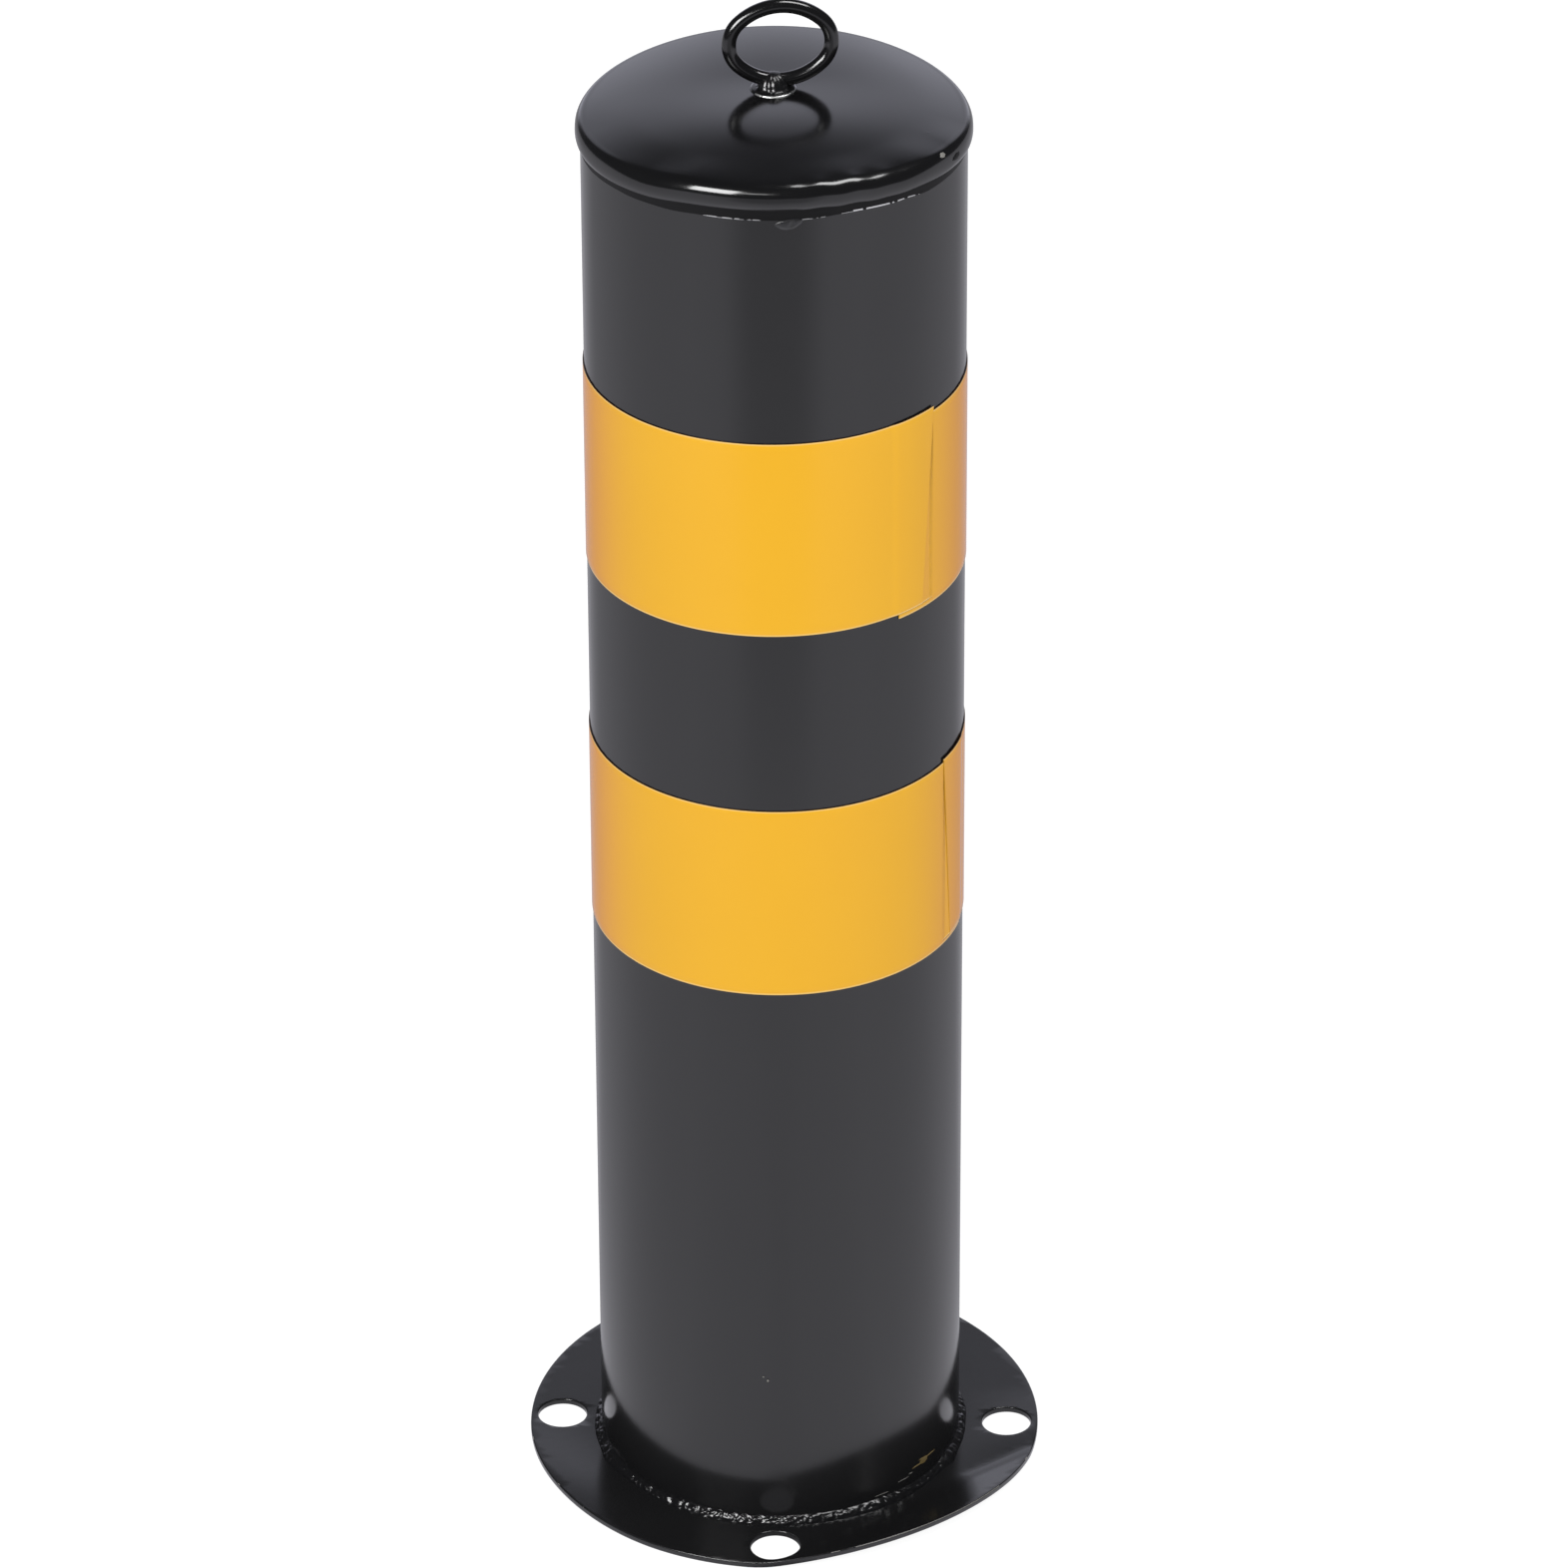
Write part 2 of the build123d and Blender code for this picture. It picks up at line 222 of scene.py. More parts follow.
def tapeFilm(name, look):  # reflective sheeting: a clear gold-tinted film over glass beads
    material = bpy.data.materials.new(name)
    material.use_nodes = True
    tree = material.node_tree
    shader = tree.nodes["Principled BSDF"]
    along = addNode(tree, "ShaderNodeUVMap", {"uv_map": "tapePlace"})
    split = addNode(tree, "ShaderNodeSeparateXYZ", {}, {"Vector": along.outputs["UV"]})
    edge = addNode(tree, "ShaderNodeMath", {"operation": "PINGPONG", 1: look["width"] / 2}, {
        0: split.outputs["Y"]})
    paleEdge = addNode(tree, "ShaderNodeMapRange", {
        "interpolation_type": "SMOOTHSTEP", "From Min": look["edgeLine"] * 0.6,
        "From Max": look["edgeLine"], "To Min": 1, "To Max": 0}, {"Value": edge.outputs["Value"]})
    darkEdge = addNode(tree, "ShaderNodeMapRange", {
        "interpolation_type": "SMOOTHSTEP", "From Min": look["dirtLine"] * 0.5,
        "From Max": look["dirtLine"], "To Min": 1, "To Max": 0}, {"Value": edge.outputs["Value"]})
    place = addNode(tree, "ShaderNodeTexCoord").outputs["Object"]
    cloud = addNode(tree, "ShaderNodeTexNoise", {
        "Scale": 1 / look["cloudSize"], "Detail": 3}, {"Vector": place})
    # Where the film turns away from view its colour shifts to a darker orange: painted shade and sheen
    # towards the tape's sides.
    facing = addNode(tree, "ShaderNodeLayerWeight", {"Blend": 0.5})
    turned = addNode(tree, "ShaderNodeMapRange", {
        "interpolation_type": "SMOOTHSTEP", "From Min": look["turnStart"], "From Max": 1},
        {"Value": facing.outputs["Facing"]})
    body = addNode(tree, "ShaderNodeMix", {
        "data_type": "RGBA", 6: linear(look["colour"]), 7: linear(look["cloudColour"])}, {
        "Factor": cloud.outputs["Fac"]})
    grazed = addNode(tree, "ShaderNodeMix", {
        "data_type": "RGBA", 7: linear(look["grazingColour"])}, {
        "Factor": turned.outputs["Result"], 6: body.outputs[2]})
    edged = addNode(tree, "ShaderNodeMix", {
        "data_type": "RGBA", 7: linear(look["edgeColour"])}, {
        "Factor": paleEdge.outputs["Result"], 6: grazed.outputs[2]})
    dirty = addNode(tree, "ShaderNodeMix", {
        "data_type": "RGBA", 7: linear(look["dirtColour"])}, {
        "Factor": darkEdge.outputs["Result"], 6: edged.outputs[2]})
    beads = addNode(tree, "ShaderNodeTexVoronoi", {"Scale": 1 / look["beadSize"]}, {"Vector": place})
    bump = addNode(tree, "ShaderNodeBump", {"Strength": 1, "Distance": look["beadDepth"]}, {
        "Height": beads.outputs["Distance"]})
    tree.links.new(dirty.outputs[2], shader.inputs["Base Color"])
    tree.links.new(bump.outputs["Normal"], shader.inputs["Normal"])
    shader.inputs["Roughness"].default_value = look["roughness"]
    shader.inputs["IOR"].default_value = look["ior"]
    shader.inputs["Specular IOR Level"].default_value = 0
    shader.inputs["Coat Weight"].default_value = 1
    shader.inputs["Coat Roughness"].default_value = look["filmRoughness"]
    shader.inputs["Coat IOR"].default_value = look["ior"]
    shader.inputs["Coat Tint"].default_value = linear(look["filmTint"])
    return material


tapeWidth = 64.4 * mm
tapeLook = {
    "colour": "#F5BC20",
    "cloudColour": "#F3B81C",
    "cloudSize": 30 * mm,
    "grazingColour": "#F09A18",
    "turnStart": 0.35,
    "edgeColour": "#FBD27C",
    "dirtColour": "#4A2F1C",
    "edgeLine": 0.7 * mm,
    "dirtLine": 0.16 * mm,
    "width": tapeWidth,
    "beadSize": 0.35 * mm,
    "beadDepth": 0.004 * mm,
    "roughness": 0.45,
    "filmRoughness": 0.12,
    "filmTint": "#FFFAF0",
    "ior": 1.42,
}
goldTape = tapeFilm("gold reflective tape", tapeLook)


def finishPiece(name, mesh, materials, nodes, sharpAngle=40):
    data = bpy.data.meshes.new(name)
    bmesh.ops.recalc_face_normals(mesh, faces=mesh.faces)
    mesh.to_mesh(data)
    mesh.free()
    data.shade_smooth()
    data.set_sharp_from_angle(angle=math.radians(sharpAngle))
    for material in materials:
        data.materials.append(material)
    piece = bpy.data.objects.new(name, data)
    scene.collection.objects.link(piece)
    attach(piece, "root")
    if nodes:
        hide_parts(*nodes)
    print(name, "made,", len(data.polygons), "faces")
    return piece


def lathe(sectionAt, steps):  # sectionAt(degrees) lists the (radius, height) points of a closed section
    mesh = bmesh.new()
    rings = []
    for step in range(steps):
        degrees = 360 * step / steps
        out = front(degrees)
        rings.append([
            mesh.verts.new(tubeCentre + out * radius + Vector((0, 0, height)))
            for radius, height in sectionAt(degrees)])
    for step in range(steps):
        here, there = rings[step], rings[(step + 1) % steps]
        for k in range(len(here)):
            following = (k + 1) % len(here)
            mesh.faces.new((here[k], there[k], there[following], here[following]))
    bmesh.ops.remove_doubles(mesh, verts=mesh.verts, dist=0.001 * mm)
    bmesh.ops.dissolve_degenerate(mesh, edges=mesh.edges, dist=0.0001 * mm)
    return mesh


def addSpot(mesh, spot, materialIndex):  # a small thick spot of paint, rust or dirt on a skin
    degrees, radius, height, tilt, across, along, proud = spot
    out = front(degrees)
    side = Vector((-out.y, out.x, 0))
    lean = math.radians(tilt)
    normal = out * math.cos(lean) + Vector((0, 0, math.sin(lean)))
    upward = normal.cross(side) * -1
    made = bmesh.ops.create_icosphere(mesh, subdivisions=4, radius=1)
    for vert in made["verts"]:
        ragged = 1 + 0.35 * noise.noise(vert.co * 2.5 + Vector((degrees, 0, 0)))
        reach = side * vert.co.x * across + upward * vert.co.y * along + normal * vert.co.z * proud
        vert.co = tubeCentre + out * radius * mm + Vector((0, 0, height * mm)) + reach * mm * ragged
    for face in {face for vert in made["verts"] for face in vert.link_faces}:
        face.material_index = materialIndex


# Flange: sheet steel disc with softened edges, four bolt holes and a bent rim
flangeShape = {
    "radius": (flangeHigh.x - flangeLow.x) / 2,
    "thickness": 2.0 * mm,
    "middleHole": 48 * mm,
    "boltCircle": 71 * mm,
    "boltHole": 7.75 * mm,
    "edge": 0.45 * mm,
    "cell": 4 * mm,  # spacing of the cuts that let the sheet bend
    "foldDirection": 35.6,  # degrees round from the front
    "foldDistance": 61.5 * mm,
    "foldAngle": 16,
    "foldSpread": 3.4 * mm,
    # direction, spread and height at the rim
    "lifts": ((-62, 34, 0.8 * mm), (82, 22, 0.4 * mm), (180, 60, 0.3 * mm)),
    "paintedHighlight": (36, 30),  # direction and spread of the painted highlight, a pale line on the rim's rounded upper edge
}


def makeFlange(shape):
    curve = bpy.data.curves.new("flange outline", "CURVE")
    curve.dimensions = "2D"
    curve.fill_mode = "BOTH"
    curve.extrude = shape["thickness"] / 2 - shape["edge"]
    curve.bevel_depth = shape["edge"]
    curve.bevel_resolution = 3
    curve.offset = -shape["edge"]
    circles = [(Vector(), shape["radius"], 256), (Vector(), shape["middleHole"], 96)]
    for quarter in range(4):
        angle = math.radians(90 * quarter)
        centre = Vector((math.cos(angle), math.sin(angle), 0)) * shape["boltCircle"]
        circles.append((centre, shape["boltHole"], 64))
    for centre, radius, count in circles:
        spline = curve.splines.new("POLY")
        spline.points.add(count - 1)
        spline.use_cyclic_u = True
        for i, point in enumerate(spline.points):
            angle = 2 * math.pi * i / count
            point.co = (
                centre.x + radius * math.cos(angle), centre.y + radius * math.sin(angle), 0, 1)
    outline = bpy.data.objects.new("flange outline", curve)
    flat = bpy.data.meshes.new_from_object(outline)
    mesh = bmesh.new()
    mesh.from_mesh(flat)
    bpy.data.objects.remove(outline)
    bmesh.ops.remove_doubles(mesh, verts=mesh.verts, dist=0.001 * mm)
    foldLine = front(shape["foldDirection"])
    acrossLine = Vector((-foldLine.y, foldLine.x, 0))
    reach = shape["radius"]
    for direction in (foldLine, acrossLine):
        for cut in range(int(-reach / shape["cell"]), int(reach / shape["cell"]) + 1):
            bmesh.ops.bisect_plane(
                mesh, geom=mesh.verts[:] + mesh.edges[:] + mesh.faces[:],
                plane_co=direction * cut * shape["cell"], plane_no=direction, dist=1e-7)
    for share in (-1, -0.5, 0, 0.5, 1):
        bmesh.ops.bisect_plane(
            mesh, geom=mesh.verts[:] + mesh.edges[:] + mesh.faces[:],
            plane_co=foldLine * (shape["foldDistance"] + share * shape["foldSpread"]),
            plane_no=foldLine, dist=1e-7)
    slope = math.tan(math.radians(shape["foldAngle"]))
    for vert in mesh.verts:
        flatPlace = Vector((vert.co.x, vert.co.y, 0))
        beyond = flatPlace.dot(foldLine) - shape["foldDistance"]
        spread = shape["foldSpread"]
        if beyond > spread:
            rise, steepness = beyond * slope, slope
        elif beyond > -spread:
            rise = slope * (beyond + spread) ** 2 / (4 * spread)
            steepness = slope * (beyond + spread) / (2 * spread)
        else:
            rise, steepness = 0, 0
        around = math.degrees(math.atan2(flatPlace.y, flatPlace.x)) + 90 - frontTurn
        outer = smoothStep(54 * mm, reach, flatPlace.length)
        for direction, width, height in shape["lifts"]:
            rise += outer * hump(direction, width, around) * height
        level = vert.co.z + shape["thickness"] / 2
        vert.co.z = rise + level * math.sqrt(1 + steepness ** 2)
    return mesh


plateMesh = makeFlange(flangeShape)
plateMesh.normal_update()
# The rounded rim edge towards the front right gets the pale coat: a painted highlight, broken up by noise.
for face in plateMesh.faces:
    middle = face.calc_center_median()
    around = math.degrees(math.atan2(middle.y, middle.x)) + 90 - frontTurn
    onEdge = middle.xy.length > flangeShape["radius"] - 0.42 * mm and 0.2 < abs(face.normal.z) < 0.9
    paintedHighlight = hump(*flangeShape["paintedHighlight"], around) + 0.5 * noise.noise(Vector((around * 0.3, 0, 0))) > 0.25
    face.material_index = int(onEdge and paintedHighlight)
finishPiece("base_plate", plateMesh, [plateEnamel, paleMarksAndRimHighlight], ["base_flange"])

# Foot weld: a hand-laid fillet bead, rippled, uneven in leg, lumpy where the welder stopped
footShape = {
    "leg": 2.25 * mm,
    "unevenness": 0.45 * mm,
    "ripple": 4.3 * mm,
    "rippleDepth": 0.3 * mm,
    "lumps": ((-67, 9, 1.0 * mm), (66, 7, 0.9 * mm), (100, 12, 0.6 * mm), (190, 14, 0.8 * mm)),
    "steps": 1440,
    "across": 12,
    # degrees from the front, radius, height, lean, and half sizes across, along and out, in mm
    "nibs": ((-3.8, 57.15, 55.2, 0, 0.3, 0.4, 0.1), (-5.2, 57.15, 56.6, 0, 0.22, 0.22, 0.05)),
    "scuffs": (
        (52.3, 57.15, 10.0, 0, 1.9, 1.1, 0.14), (49.3, 57.15, 9.6, 0, 2.6, 0.22, 0.12),
        (56.0, 57.15, 10.5, 0, 2.4, 0.22, 0.12), (51.0, 57.15, 11.1, 0, 1.2, 0.2, 0.1)),
    "scratches": (
        (42.6, 57.15, 7.4, 0, 2.2, 0.07, 0.08), (34, 57.15, 5.6, 0, 2.4, 0.07, 0.08),
        (46, 57.15, 8.2, 0, 0.9, 0.06, 0.08)),
}


def footSection(degrees):
    shape = footShape
    angle = math.radians(degrees)
    wander = noise.noise(Vector((math.cos(angle) * 3, math.sin(angle) * 3, 1))) * shape["unevenness"]
    lump = sum(hump(at, width, degrees) * height for at, width, height in shape["lumps"])
    leg = shape["leg"] + wander + lump
    points = [(tubeRadius - 0.2 * mm, plateTop - 0.2 * mm)]
    for k in range(shape["across"] + 1):
        share = k / shape["across"]
        arc = math.radians(90 * share)
        slant = 1.1 * (share - 0.5) ** 2  # each ripple is a crescent
        phase = (angle * tubeRadius / shape["ripple"] + slant) * 2 * math.pi
        grain = noise.noise(Vector((math.cos(angle) * 40, math.sin(angle) * 40, share * 3)))
        swell = shape["rippleDepth"] * (abs(math.sin(phase / 2)) ** 0.7 - 0.5 + 1.3 * grain)
        swell *= math.sin(math.pi * share)
        # between a flat fillet face and a round bead
        flatOut, flatUp = leg * share, leg * (1 - share)
        roundOut, roundUp = leg * math.sin(arc), leg * math.cos(arc)
        out = (flatOut * 0.7 + roundOut * 0.3) + swell * 0.7
        up = (flatUp * 0.7 + roundUp * 0.3) + swell * 0.7
        points.append((tubeRadius + out, plateTop + up))
    return points


footWeld = lathe(footSection, footShape["steps"])
for index, group in enumerate(("nibs", "scuffs", "scratches")):
    for spot in footShape[group]:
        addSpot(footWeld, spot, index + 1)
footMaterials = [weldEnamel, paleMarksAndRimHighlight, scuffed, paleMarksAndRimHighlight]
finishPiece("foot_weld_bead", footWeld, footMaterials, ["base_weld"])

# Cap: a pressed dish with a rolled edge, a little tilted and sprung out of true as it was welded
capShape = {
    "sheet": 1.4 * mm,
    "knuckle": 5.0 * mm,
    "skirt": 3.0 * mm,
    "turnUnder": 38,  # degrees that the roll goes on below its widest line
    "tilt": 1.15 * mm,  # how far the front stands up and the back stands down
    "saddle": 1.17 * mm,  # front and back up, sides down
    "spring": (  # what the roll alone adds, in mm, by degrees round from the front
        (-180, 0), (-100, 0), (-75, -0.3), (-42, -0.3), (-24, 0.4), (0, 0.1), (24, 0.5), (37, 0.3),
        (50, 0.45), (64, 0.2), (82, -0.2), (180, 0)),
    "square": ((-180, 0.25), (-60, 0.25), (-38, 0), (40, 0), (60, 0.25), (180, 0.25)),  # of its upper turn
    "hammered": (22, 28, 11, 0.16 * mm),  # place, spread and period in degrees, depth
    "steps": 720,
    "domeRings": 28,
    "kneeRings": 20,
    "pinhole": (58.0, 57.62, 465.1, 38, 1.2, 0.75, 0.3),
    # the pit is a small dark dull spot: painted shade
    "pit": (65.0, 58.45, 461.87, 5, 2.2, 0.9, 0.2),
}


def capLift(degrees, radius):
    shape = capShape
    angle = math.radians(degrees)
    reach = radius / (54 * mm)
    place, spread, period, depth = shape["hammered"]
    wave = depth * hump(place, spread, degrees) * math.sin(2 * math.pi * (degrees - place) / period)
    spring = smoothStep(42 * mm, 57 * mm, radius) * blend(shape["spring"], degrees) * mm
    tilt = shape["tilt"] * reach * math.cos(angle)
    saddle = shape["saddle"] * reach ** 2 * math.cos(2 * angle)
    return tilt + saddle + spring + wave * smoothStep(53 * mm, 56 * mm, radius)


def capSection(degrees):
    shape = capShape
    top = capHigh.z
    knuckle = shape["knuckle"]
    kneeHeight = capLow.z + shape["skirt"]
    kneeRadius = capRadius - knuckle
    domeRise = top - kneeHeight
    domeRadius = (kneeRadius ** 2 + domeRise ** 2 - knuckle ** 2) / (2 * (domeRise - knuckle))
    meeting = math.asin(kneeRadius / (domeRadius - knuckle))  # angle off the axis where they touch

    def layer(depth):
        points = []
        for k in range(shape["kneeRings"] + 1):
            low = math.radians(-shape["turnUnder"])
            tilt = low + (math.pi / 2 - meeting - low) * k / shape["kneeRings"]
            reach = knuckle - depth
            upperTurn = smoothStep(0, 0.2, tilt) * smoothStep(1.3, 1.0, tilt)
            power = 1 - blend(shape["square"], degrees) * upperTurn
            radius = kneeRadius + reach * math.cos(tilt) ** power
            height = kneeHeight + reach * math.copysign(abs(math.sin(tilt)) ** power, tilt)
            if depth and tilt < math.radians(30):  # the inside rests on the tube
                radius = max(radius, tubeRadius + 0.05 * mm)
            points.append((radius, height + capLift(degrees, radius)))
        for k in range(1, shape["domeRings"] + 1):
            off = meeting * (1 - k / shape["domeRings"])
            reach = domeRadius - depth
            radius = reach * math.sin(off)
            height = top - domeRadius + reach * math.cos(off)
            points.append((radius, height + capLift(degrees, radius)))
        return points

    return layer(0) + layer(shape["sheet"])[::-1]


capMesh = lathe(capSection, capShape["steps"])
addSpot(capMesh, capShape["pinhole"], 1)
addSpot(capMesh, capShape["pit"], 2)
finishPiece("domed_cap", capMesh, [glossEnamel, paleMarksAndRimHighlight, paintedShadeEnamel], ["top_cap"])

# Seam weld under the cap: a smooth dark dull band that paints the shade under the rim, with a broken ledge
# at its toe whose bright bare steel paints the glints there
seamShape = {
    "toe": (  # height over the level of the cap's rim, in mm, by degrees round from the front
        (-180, -2.1), (-75, -2.7), (-50, -1.8), (-34, -1.4), (-21, -0.8), (8, -0.8), (22, -0.3),
        (41, -1.0), (52, -2.0), (70, -2.0), (180, -2.1)),
    "proud": 0.14 * mm,
    "ledges": ((-12, 12, 0.05 * mm, 0.2 * mm), (29, 23, 0.07 * mm, 0.36 * mm)),  # place, spread, out, down
    "dash": 1.5,  # degrees
    "glintTop": 0.37 * mm,  # the ledge gets the bright steel of its painted glint up to here over the toe, and this far out from the tube
    "glintOut": 0.15 * mm,
    "steps": 2160,
}


def seamSection(degrees):
    shape = seamShape
    angle = math.radians(degrees)
    toe = capLow.z + blend(shape["toe"], degrees) * mm
    turnUnder = math.radians(capShape["turnUnder"])
    rollRadius = capRadius - capShape["knuckle"] * (1 - math.cos(turnUnder))
    rollHeight = capLow.z + capShape["skirt"] - capShape["knuckle"] * math.sin(turnUnder)
    top = rollHeight + capLift(degrees, rollRadius)
    dash = noise.noise(Vector((math.cos(angle), math.sin(angle), 0)) * 57.3 / shape["dash"])
    whole = smoothStep(-0.22, -0.08, dash)
    out = sum(hump(at, width, degrees) ** 0.5 * far for at, width, far, down in shape["ledges"]) * whole
    down = sum(hump(at, width, degrees) ** 0.5 * low for at, width, far, low in shape["ledges"]) * whole
    wander = noise.noise(Vector((math.cos(angle) * 9, math.sin(angle) * 9, 2))) * 0.05 * mm
    skin = tubeRadius + shape["proud"] + wander
    return [
        (tubeRadius - 0.2 * mm, top + 0.6 * mm),
        (rollRadius - 0.1 * mm, top + 0.6 * mm),
        (rollRadius - 0.05 * mm, top),
        (skin * 0.5 + (rollRadius - 0.05 * mm) * 0.5, top * 0.6 + toe * 0.4),
        (skin, toe + 0.12 * mm + down),
        (skin + out, toe + 0.12 * mm),
        (skin + out * 0.7, toe),
        (tubeRadius - 0.2 * mm, toe - 0.02 * mm),
    ]


seamWeld = lathe(seamSection, seamShape["steps"])
# Ledge faces along the dashes get bright bare steel: painted glints at the toe.
for face in seamWeld.faces:
    middle = face.calc_center_median()
    place = middle - tubeCentre
    degrees = math.degrees(math.atan2(place.y, place.x)) + 90 - frontTurn
    toe = capLow.z + blend(seamShape["toe"], degrees) * mm
    dashed = sum(hump(at, width, degrees) for at, width, far, down in seamShape["ledges"])
    onLedge = middle.z < toe + seamShape["glintTop"] and place.xy.length > tubeRadius + seamShape["glintOut"]
    face.material_index = int(dashed > 0 and onLedge)
finishPiece("cap_seam_bead", seamWeld, [paintedShadeEnamel, glintSteel], ["cap_seam_weld"])


# Tack weld at the front: a flat drop that hangs from the seam like a lens, with a dimple in it
tackShape = {
    "direction": 4.2,
    "level": -0.4 * mm,  # its top, over the level of the cap's rim
    "width": 8.6 * mm,
    "drop": 3.5 * mm,
    "proud": 0.75 * mm,
    "slant": 0.12,  # the right end stands higher than the left
    "dimple": (0.9 * mm, -1.3 * mm, 0.9 * mm, 0.3 * mm),  # right, down, radius, depth
}


def makeTack(shape):
    mesh = bmesh.new()
    bmesh.ops.create_icosphere(mesh, subdivisions=6, radius=1)
    out = front(shape["direction"])
    side = Vector((-out.y, out.x, 0))
    right, down, radius, depth = shape["dimple"]
    for vert in mesh.verts:
        across, proud, up = vert.co.x, -vert.co.y, vert.co.z
        slide = across * shape["width"] / 2
        height = (up - 1) * 0.5 * shape["drop"] * (1 - 0.35 * across ** 2) + slide * shape["slant"]
        thick = proud * shape["proud"]
        if proud > 0:
            away = math.hypot(slide - right, height - down) / radius
            thick -= depth * math.exp(-away ** 2) * proud
            thick += noise.noise(vert.co * 3) * 0.06 * mm
        angle = slide / tubeRadius
        skin = tubeRadius + max(thick, -0.3 * mm)
        vert.co = tubeCentre + (out * math.cos(angle) + side * math.sin(angle)) * skin
        vert.co.z = capLow.z + shape["level"] + height
    return mesh


finishPiece("cap_tack_drop", makeTack(tackShape), [tackEnamel], ["cap_tack_weld"])

# Ring weld: a round puddle on the dome, and a ribbed crown that closes over the ring's bar
ringWeldShape = {
    "off": (-0.2 * mm, -0.5 * mm),
    "puddle": ((6.8, -0.5), (6.8, 0.05), (6.55, 0.4), (6.0, 0.55), (5.2, 0.6)),  # radius and height, mm
    "crown": ((4.5, 0.8), (4.35, 1.9), (3.7, 3.2), (2.7, 4.3), (1.4, 5.0), (0, 5.2)),
    "ribs": 13,
    "ribDepth": 0.26 * mm,
    "glintRim": (6.2 * mm, 0.42 * mm),  # bright steel of the painted glint from this radius out and below this height
    "steps": 360,
}


def ringWeldSection(degrees):
    shape = ringWeldShape
    angle = math.radians(degrees)
    wander = noise.noise(Vector((math.cos(angle) * 2, math.sin(angle) * 2, 5)))
    points = [(0, -0.5 * mm + capHigh.z)]
    for radius, height in shape["puddle"]:
        points.append((radius * mm + wander * 0.15 * mm, height * mm + capHigh.z))
    for radius, height in shape["crown"]:
        rib = abs(math.sin(angle * shape["ribs"] / 2 + height * 0.25 + wander)) - 0.5
        swell = shape["ribDepth"] * rib * min(radius / 2, 1)
        points.append((max(radius * mm + swell, 0), height * mm + capHigh.z))
    return points


glintFrom, glintBelow = ringWeldShape["glintRim"]
ringWeld = lathe(ringWeldSection, ringWeldShape["steps"])
bmesh.ops.translate(ringWeld, verts=ringWeld.verts, vec=(*ringWeldShape["off"], 0))
# Broken pieces of the puddle's rim get bright bare steel: a painted glint along it.
for face in ringWeld.faces:
    out = face.calc_center_median() - tubeCentre
    level = out.z - capHigh.z
    paintedHighlight = noise.noise(Vector((out.x, out.y, 0)) * 400) > -0.25
    face.material_index = int(out.xy.length > glintFrom and 0 < level < glintBelow and paintedHighlight)
ringWeldMaterials = [weldEnamel, glintSteel]
finishPiece("ring_weld_puddle", ringWeld, ringWeldMaterials, ["ring_weld"], sharpAngle=75)

# Tapes: each goes once round the tube, and its tail laps over its start
tapeShape = {
    "thickness": 0.25 * mm,
    "film": 0.1 * mm,
    "lap": 12 * mm,
    "climb": 3 * mm,
    "edge": 0.1 * mm,
    "steps": 720,
    "across": 24,
}
tapeRuns = {
    "upper_tape": {"height": 318.8 * mm, "rise": 1.6 * mm, "end": -36, "hand": 1, "skew": 4.4},
    "lower_tape": {"height": 195.7 * mm, "rise": 1.2 * mm, "end": -24, "hand": -1, "skew": 4.4},
}


def makeTape(shape, run):
    mesh = bmesh.new()
    uvLayer = mesh.loops.layers.uv.new("tapePlace")
    degreesPerMetre = 180 / (math.pi * tubeRadius)
    lap = shape["lap"] * degreesPerMetre
    climb = shape["climb"] * degreesPerMetre
    start = math.radians(run["end"] - run["hand"] * lap)
    edge = shape["edge"]
    across = [0, edge * 0.3, edge] + [
        edge + (tapeWidth - 2 * edge) * k / shape["across"] for k in range(1, shape["across"])]
    across += [tapeWidth - edge, tapeWidth - edge * 0.3, tapeWidth]
    depths = [edge, edge * 0.3, 0] + [0] * (shape["across"] - 1) + [0, edge * 0.3, edge]
    rows = []
    for step in range(shape["steps"] + 1):
        share = step / shape["steps"]
        row = []
        for place, depth in zip(across, depths):
            spare = (place - tapeWidth / 2) * math.tan(math.radians(run["skew"])) * degreesPerMetre
            turned = share * (360 + lap + spare)
            over = smoothStep(360 - climb, 360, turned) * shape["thickness"]
            radius = tubeRadius + shape["film"] + shape["thickness"] + over - depth
            angle = start + run["hand"] * math.radians(turned)
            height = run["height"] + run["rise"] * turned / 360 + place
            spot = Vector((math.cos(angle) * radius, math.sin(angle) * radius, height))
            row.append((mesh.verts.new(tubeCentre + spot), turned / degreesPerMetre, place))
        inner = radius + depth - shape["thickness"]
        for place in (tapeWidth, 0):
            height = run["height"] + run["rise"] * turned / 360 + place
            spot = Vector((math.cos(angle) * inner, math.sin(angle) * inner, height))
            row.append((mesh.verts.new(tubeCentre + spot), turned / degreesPerMetre, place))
        rows.append(row)

    def addFace(corners):
        face = mesh.faces.new([corner[0] for corner in corners])
        for loop, corner in zip(face.loops, corners):
            loop[uvLayer].uv = corner[1:]

    for here, there in zip(rows, rows[1:]):
        for k in range(len(here)):
            following = (k + 1) % len(here)
            addFace((here[k], there[k], there[following], here[following]))
    addFace(rows[0])
    addFace(rows[-1][::-1])
    return mesh


for nodeName, run in tapeRuns.items():
    finishPiece(nodeName + "_band", makeTape(tapeShape, run), [goldTape], [nodeName])

for nodeName, material in (("post_tube", pipeEnamel), ("lifting_ring", glossEnamel)):
    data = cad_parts[nodeName].data
    data.materials.clear()
    data.materials.append(material)

